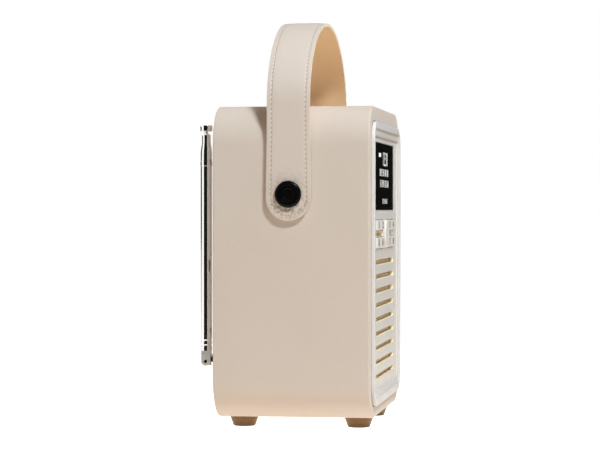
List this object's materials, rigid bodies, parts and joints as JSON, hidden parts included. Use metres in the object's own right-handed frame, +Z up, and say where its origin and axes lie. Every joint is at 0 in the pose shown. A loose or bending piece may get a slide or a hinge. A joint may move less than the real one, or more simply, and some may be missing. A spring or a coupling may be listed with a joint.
{
  "type": "tabletop radio",
  "caption": "Leather-covered tabletop radio with a display, push keys, a knob, slotted speakers, a carry strap and a telescopic antenna.",
  "frame": {"origin": "under the middle of the whole object, at the bottom of the feet", "axes": "+Z up; the front faces -Y; +X is to the right of someone who faces the front"},
  "size_m": [0.187, 0.111, 0.2593],
  "materials": {
    "leather": "fine-grained beige leather, satin",
    "board_wood": "plain board, hidden under the leather",
    "white_plastic": "warm white moulded plastic, satin",
    "key_plastic": "white key plastic, satin",
    "window": "black display window, glossy",
    "dark_plastic": "dark moulded plastic",
    "led_lens": "small dark indicator lens",
    "cloth": "golden brown grille cloth",
    "circuit_board": "green circuit board",
    "steel": "plated steel",
    "basket_steel": "pressed steel, grey",
    "chrome": "polished chrome plate",
    "black_metal": "black finished metal, satin",
    "magnet": "dark ferrite",
    "cone_paper": "pressed black paper",
    "foot_wood": "tan turned foot, satin"
  },
  "bodies": {
    "cabinet": {"antenna_socket": "chrome", "back_panel": "white_plastic", "back_screw_high_left": "steel", "back_screw_high_right": "steel", "back_screw_low_left": "steel", "back_screw_low_right": "steel", "batten_left": "board_wood", "batten_right": "board_wood", "battery_pack": "dark_plastic", "cabinet_sleeve": "board_wood", "display_lens": "window", "display_module": "dark_plastic", "encoder_body": "dark_plastic", "foot_back_left": "foot_wood", "foot_back_right": "foot_wood", "foot_front_left": "foot_wood", "foot_front_right": "foot_wood", "foot_screw_back_left": "steel", "foot_screw_back_right": "steel", "foot_screw_front_left": "steel", "foot_screw_front_right": "steel", "front_fascia": "white_plastic", "grille_cloth": "cloth", "key_board": "circuit_board", "leather_wrap": "leather", "main_board": "circuit_board", "power_led": "led_lens", "rear_jacks": "dark_plastic", "sensor_cloth": "cloth", "speaker_baffle": "board_wood", "speaker_basket_left": "basket_steel", "speaker_basket_right": "basket_steel", "speaker_magnet_left": "magnet", "speaker_magnet_right": "magnet", "strap_bush_left": "steel", "strap_bush_right": "steel", "strap_screw_left": "black_metal", "strap_screw_right": "black_metal"},
    "encoder": {"encoder_rotor": "steel"},
    "knob": {"select_knob": "key_plastic", "encoder_shaft": "steel"},
    "strap": {"carry_strap": "leather"},
    "cone_left": {"speaker_cone_left": "cone_paper"},
    "cone_right": {"speaker_cone_right": "cone_paper"},
    "knuckle": {"antenna_knuckle": "chrome", "antenna_pin": "steel"},
    "mast": {"antenna_mast": "chrome"},
    "mast_2": {"antenna_section_2": "chrome"},
    "mast_3": {"antenna_section_3": "chrome"},
    "mast_4": {"antenna_section_4": "chrome"},
    "mast_tip": {"antenna_tip": "chrome"},
    "door": {"battery_door": "white_plastic"},
    "key_upper_1": {"key_upper_1": "key_plastic"},
    "key_upper_2": {"key_upper_2": "key_plastic"},
    "key_upper_3": {"key_upper_3": "key_plastic"},
    "key_upper_4": {"key_upper_4": "key_plastic"},
    "key_lower_1": {"key_lower_1": "key_plastic"},
    "key_lower_2": {"key_lower_2": "key_plastic"},
    "key_lower_3": {"key_lower_3": "key_plastic"},
    "key_lower_4": {"key_lower_4": "key_plastic"}
  },
  "joints": [
    {"name": "key_upper_1_press", "type": "slide", "parent": "cabinet", "child": "key_upper_1", "axis": [0, 1, 0], "range_m": [0, 0.0006], "stiffness_N_per_m": 1500},
    {"name": "key_upper_2_press", "type": "slide", "parent": "cabinet", "child": "key_upper_2", "axis": [0, 1, 0], "range_m": [0, 0.0006], "stiffness_N_per_m": 1500},
    {"name": "key_upper_3_press", "type": "slide", "parent": "cabinet", "child": "key_upper_3", "axis": [0, 1, 0], "range_m": [0, 0.0006], "stiffness_N_per_m": 1500},
    {"name": "key_upper_4_press", "type": "slide", "parent": "cabinet", "child": "key_upper_4", "axis": [0, 1, 0], "range_m": [0, 0.0006], "stiffness_N_per_m": 1500},
    {"name": "key_lower_1_press", "type": "slide", "parent": "cabinet", "child": "key_lower_1", "axis": [0, 1, 0], "range_m": [0, 0.0006], "stiffness_N_per_m": 1500},
    {"name": "key_lower_2_press", "type": "slide", "parent": "cabinet", "child": "key_lower_2", "axis": [0, 1, 0], "range_m": [0, 0.0006], "stiffness_N_per_m": 1500},
    {"name": "key_lower_3_press", "type": "slide", "parent": "cabinet", "child": "key_lower_3", "axis": [0, 1, 0], "range_m": [0, 0.0006], "stiffness_N_per_m": 1500},
    {"name": "key_lower_4_press", "type": "slide", "parent": "cabinet", "child": "key_lower_4", "axis": [0, 1, 0], "range_m": [0, 0.0006], "stiffness_N_per_m": 1500},
    {"name": "knob_turn", "type": "hinge", "parent": "cabinet", "child": "encoder", "pos_m": [0, -0.04836, 0.1222], "axis": [0, 1, 0], "continuous": true},
    {"name": "knob_press", "type": "slide", "parent": "encoder", "child": "knob", "axis": [0, 1, 0], "range_m": [0, 0.0006], "stiffness_N_per_m": 1500},
    {"name": "cone_left_stroke", "type": "slide", "parent": "cabinet", "child": "cone_left", "axis": [0, 1, 0], "range_m": [-0.0015, 0.0015], "stiffness_N_per_m": 1500},
    {"name": "cone_right_stroke", "type": "slide", "parent": "cabinet", "child": "cone_right", "axis": [0, 1, 0], "range_m": [-0.0015, 0.0015], "stiffness_N_per_m": 1500},
    {"name": "strap_swing", "type": "hinge", "parent": "cabinet", "child": "strap", "pos_m": [0, -0.00336, 0.1472], "axis": [1, 0, 0], "range_deg": [-90, 90]},
    {"name": "antenna_swivel", "type": "hinge", "parent": "cabinet", "child": "knuckle", "pos_m": [-0.07, 0.04564, 0.0428], "axis": [0, 1, 0], "range_deg": [0, 90]},
    {"name": "antenna_tilt", "type": "hinge", "parent": "knuckle", "child": "mast", "pos_m": [-0.07, 0.05164, 0.0428], "axis": [-1, 0, 0], "range_deg": [0, 90]},
    {"name": "antenna_slide_1", "type": "slide", "parent": "mast", "child": "mast_2", "axis": [0, 0, 1], "range_m": [0, 0.11]},
    {"name": "antenna_slide_2", "type": "slide", "parent": "mast_2", "child": "mast_3", "axis": [0, 0, 1], "range_m": [0, 0.11]},
    {"name": "antenna_slide_3", "type": "slide", "parent": "mast_3", "child": "mast_4", "axis": [0, 0, 1], "range_m": [0, 0.11]},
    {"name": "antenna_slide_4", "type": "slide", "parent": "mast_4", "child": "mast_tip", "axis": [0, 0, 1], "range_m": [0, 0.11]},
    {"name": "battery_door_swing", "type": "hinge", "parent": "cabinet", "child": "door", "pos_m": [0, 0.04324, 0.0534], "axis": [-1, 0, 0], "range_deg": [0, 80]}
  ]
}
